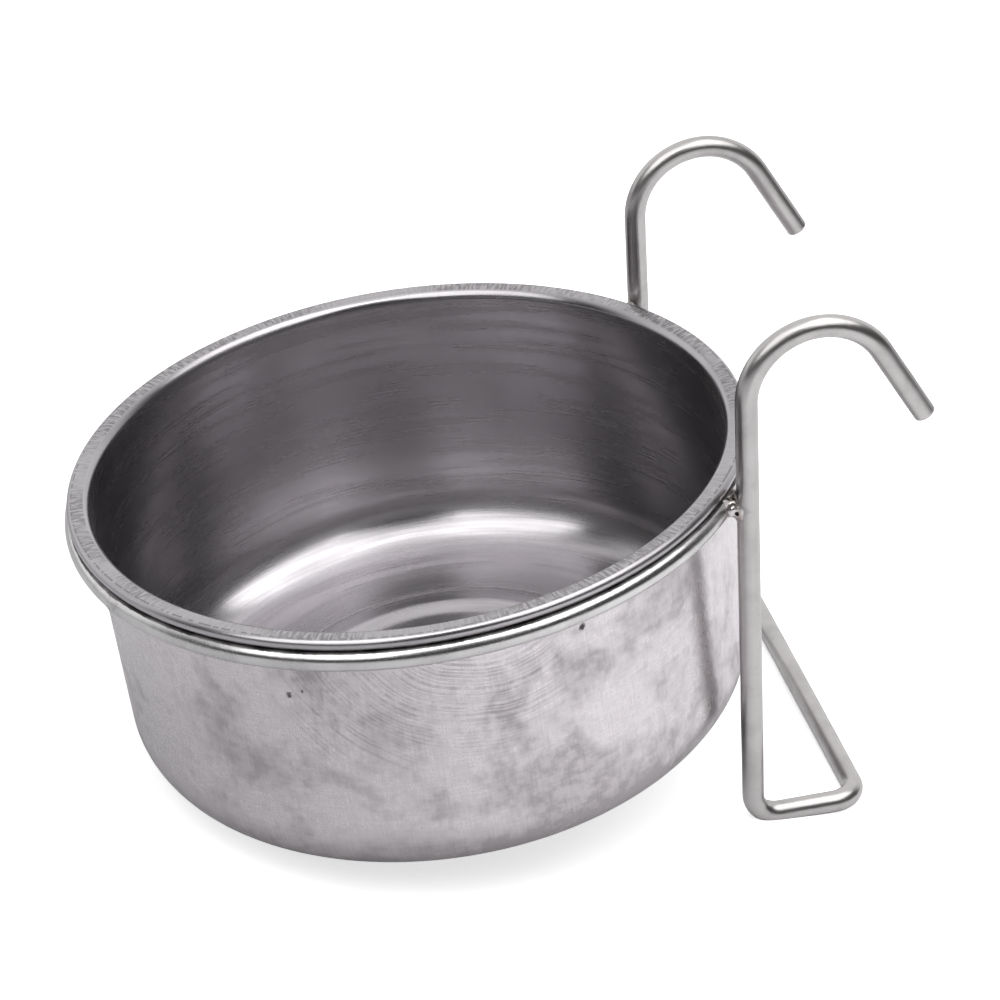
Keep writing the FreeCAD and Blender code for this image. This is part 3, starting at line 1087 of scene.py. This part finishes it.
class FEEDINGCUP_OT_frame(bpy.types.Operator):
    """Makes the one bent wire with both hooks, both uprights and the stand-off bar"""
    bl_idname = "feeding_cup.frame"
    bl_label = "Hook Frame"

    def execute(self, context):
        p, s = places(), sizes("wire")
        path = path_mesh("frame_path", frame_corners())
        mesh = grown("hook_wire", path, bent_wire_group(), {
            "Wire Radius": p["wire_r"], "Step": s.step, "Sides": s.sides, "Material": wire_steel(),
        })
        soften_wire(mesh, bend_dents(p, s), 0.035 * MM)
        round_ends(mesh, s.chamfer)
        outward(mesh)
        add_piece("hook_wire", mesh, "holder", "hook_frame")
        return {"FINISHED"}


def bend_dents(p, s):
    """The former's bite marks on the inside of each lower bend."""
    foot_z = p["ring_z"] - s.below
    inside = s.bend - (s.bend - p["wire_r"]) * math.cos(math.radians(45))
    dents = []
    for side in (-1, 1):
        y = side * p["upright_y"]
        near = Vector((p["upright_x"] + inside, y, foot_z + inside))
        far = Vector((p["upright_x"] + s.stand_off - inside, y - side * inside, foot_z))
        for spot in (near, far):
            beside = spot + Vector((1.6, 0.9 * side, 0.4)) * MM
            dents.append((leaned(spot, p), 1.5 * MM, 0.28 * MM))
            dents.append((leaned(beside, p), 0.9 * MM, 0.2 * MM))
    return dents


class FEEDINGCUP_OT_welds(bpy.types.Operator):
    """Makes the welds between the ring and the uprights, and the ring's butt weld"""
    bl_idname = "feeding_cup.welds"
    bl_label = "Welds"

    def execute(self, context):
        metal = weld_steel()
        for name, side in (("front_weld", -1), ("rear_weld", 1)):
            mesh = upright_weld_mesh(side)
            outward(mesh)
            add_piece(name + "_metal", mesh, "holder", name, metal)
        add_piece("butt_weld_metal", butt_weld_mesh(), "holder", "ring_butt_weld",
                  bpy.data.materials["polished_ring_wire"])
        return {"FINISHED"}


# ---------------------------------------------------------------- the stage
def rest_plane():
    """The floor that the part rests on: it touches the stand-off bar and the cup's far corner."""
    p, s, w = places(), sizes("cup"), sizes("wire")
    bar = leaned(Vector((p["upright_x"] + w.stand_off, 0, p["ring_z"] - w.below)), p)
    corner = Vector((-(p["rim_r"] - s.overhang - s.draft - s.corner), 0, p["base_z"] + s.corner))
    across = bar - corner
    tilt = math.atan2(-across.z, across.x) - math.asin((s.corner - p["wire_r"]) / across.length)
    up = Vector((math.sin(tilt), 0, math.cos(tilt)))
    return bar - up * p["wire_r"], tilt


def floor_material():
    """Pale matt paper that stays pale where the part shades it, and darker towards the left as
    painted shade seen in the steel's reflections.
    """
    material = bpy.data.materials.new("pale_floor")
    material.use_nodes = True
    t = Tree(material.node_tree)
    shader = material.node_tree.nodes["Principled BSDF"]
    place = t.add("ShaderNodeTexCoord", out=3)
    side = t.add("ShaderNodeSeparateXYZ", {"Vector": place}, out=0)
    # The ramp across x paints the left side darker, as painted shade.
    paper = t.math("MULTIPLY_ADD", t.noise(place, 900.0, 3.0), 0.05, t.ramp(side, -0.09, 0.08))
    tone = t.mix(t.times(paper, 0.95), rgba(sizes("stage").floor_left_shade),
                 rgba(sizes("stage").floor))
    material.node_tree.links.new(tone, shader.inputs["Base Color"])
    shader.inputs["Roughness"].default_value = 0.9
    shader.inputs["Specular IOR Level"].default_value = 0.1
    glow = t.add("ShaderNodeEmission", {"Color": (1, 1, 1, 1), "Strength": 0.68})
    both = t.add("ShaderNodeAddShader", {0: shader.outputs[0], 1: glow})
    seen = t.add("ShaderNodeLightPath", out=0)
    shown = t.add("ShaderNodeMixShader", {0: seen, 1: shader.outputs[0], 2: both})
    output = material.node_tree.nodes["Material Output"]
    material.node_tree.links.new(shown, output.inputs["Surface"])
    return material


def add_floor():
    point, tilt = rest_plane()
    half = 3.0
    mesh = bpy.data.meshes.new("floor")
    mesh.from_pydata([(-half, -half, 0), (half, -half, 0), (half, half, 0), (-half, half, 0)],
                     [], [(0, 1, 2, 3)])
    mesh.transform(Matrix.Translation(point) @ Matrix.Rotation(tilt, 4, "Y"))
    mesh.materials.append(floor_material())
    floor = bpy.data.objects.new("floor", mesh)
    bpy.context.scene.collection.objects.link(floor)


def add_world():
    """A white room behind the part, brightest overhead, and a dark one behind the camera."""
    world = bpy.data.worlds.new("studio")
    bpy.context.scene.world = world
    world.use_nodes = True
    t = Tree(world.node_tree)
    way = t.add("ShaderNodeTexCoord", out=0)
    parts = t.node("ShaderNodeSeparateXYZ", {"Vector": way}).outputs
    back = t.ramp(parts["Y"], -0.05, 0.45, 0.04, 1.05)
    overhead = t.ramp(parts["Z"], 0.90, 0.98, 0.0, 1.2)
    back = t.math("MAXIMUM", back, overhead)
    seen = t.add("ShaderNodeLightPath", out=0)
    strength = t.mix(seen, back, (1.0, 1.0, 1.0, 1.0))
    background = world.node_tree.nodes["Background"]
    world.node_tree.links.new(strength, background.inputs["Color"])
    background.inputs["Strength"].default_value = 1.0


# Each is (name, degrees round from +X, degrees up, (width, height) in metres, radiance).
SOFTBOXES = (("left_softbox", -141, 57, (0.80, 0.78), 2.25),
             ("right_softbox", -35, 57, (1.00, 0.78), 2.65))
SOFTBOX_DISTANCE = 0.95


def add_light(name, heading, elevation, size, radiance):
    """An area light aimed at the part."""
    data = bpy.data.lights.new(name, "AREA")
    data.shape = "RECTANGLE"
    data.size, data.size_y = size
    data.energy = radiance * math.pi * size[0] * size[1]
    light = bpy.data.objects.new(name, data)
    bpy.context.scene.collection.objects.link(light)
    a, e = math.radians(heading), math.radians(elevation)
    way = Vector((math.cos(a) * math.cos(e), math.sin(a) * math.cos(e), math.sin(e)))
    middle = (CAD_BOX[0] + CAD_BOX[1]) / 2
    light.location = middle + way * SOFTBOX_DISTANCE
    light.rotation_euler = way.to_track_quat("Z", "Y").to_euler()
    light.visible_camera = False


def add_camera():
    s = sizes("stage")
    a, e = s.azimuth, s.elevation
    back = Vector((math.sin(a) * math.cos(e), -math.cos(a) * math.cos(e), math.sin(e)))
    camera = bpy.data.objects.new("camera", bpy.data.cameras.new("camera"))
    bpy.context.scene.collection.objects.link(camera)
    aim = (CAD_BOX[0] + CAD_BOX[1]) / 2 + Vector(s.aim)
    camera.location = aim + back * s.distance
    level = (-back).to_track_quat("-Z", "Y")
    camera.rotation_mode = "QUATERNION"
    camera.rotation_quaternion = level @ Matrix.Rotation(s.roll, 3, "Z").to_quaternion()
    camera.data.lens = s.lens
    camera.data.clip_start = 0.02
    camera.data.clip_end = 20.0
    bpy.context.scene.camera = camera


class FEEDINGCUP_OT_stage(bpy.types.Operator):
    """Makes the floor, the room, the lights and the camera"""
    bl_idname = "feeding_cup.stage"
    bl_label = "Studio"

    def execute(self, context):
        add_camera()
        add_floor()
        add_world()
        for softbox in SOFTBOXES:
            add_light(*softbox)
        scene = context.scene
        scene.view_settings.view_transform = "Standard"
        scene.view_settings.look = "None"
        return {"FINISHED"}


# ---------------------------------------------------------------- the add-on
OPERATORS = (FEEDINGCUP_OT_stage, FEEDINGCUP_OT_cup, FEEDINGCUP_OT_ring, FEEDINGCUP_OT_frame,
             FEEDINGCUP_OT_welds)


class FeedingCupSettings(bpy.types.PropertyGroup):
    """All sizes and colours."""
    cup: PointerProperty(type=CupSizes)
    wire: PointerProperty(type=WireSizes)
    weld: PointerProperty(type=WeldSizes)
    finish: PointerProperty(type=FinishSettings)
    stage: PointerProperty(type=StageSettings)


class FEEDINGCUP_PT_panel(bpy.types.Panel):
    """Lists the pieces and their sizes"""
    bl_idname = "FEEDINGCUP_PT_panel"
    bl_label = "Feeding Cup"
    bl_space_type = "VIEW_3D"
    bl_region_type = "UI"
    bl_category = "Feeding Cup"

    def draw(self, context):
        for operator in OPERATORS:
            self.layout.operator(operator.bl_idname)
        for name, group in GROUPS.items():
            box = self.layout.box()
            box.label(text=name.title())
            for key in group.__annotations__:
                box.prop(sizes(name), key)


CLASSES = (*GROUPS.values(), FeedingCupSettings, *OPERATORS, FEEDINGCUP_PT_panel)


def register():
    for cls in CLASSES:
        bpy.utils.register_class(cls)
    bpy.types.Scene.feeding_cup = PointerProperty(type=FeedingCupSettings)


def unregister():
    del bpy.types.Scene.feeding_cup
    for cls in reversed(CLASSES):
        bpy.utils.unregister_class(cls)


def main():
    """Builds every piece in order."""
    register()
    bpy.ops.feeding_cup.stage()
    bpy.ops.feeding_cup.cup()
    bpy.ops.feeding_cup.ring()
    bpy.ops.feeding_cup.frame()
    bpy.ops.feeding_cup.welds()


if __name__ == "__main__":
    main()
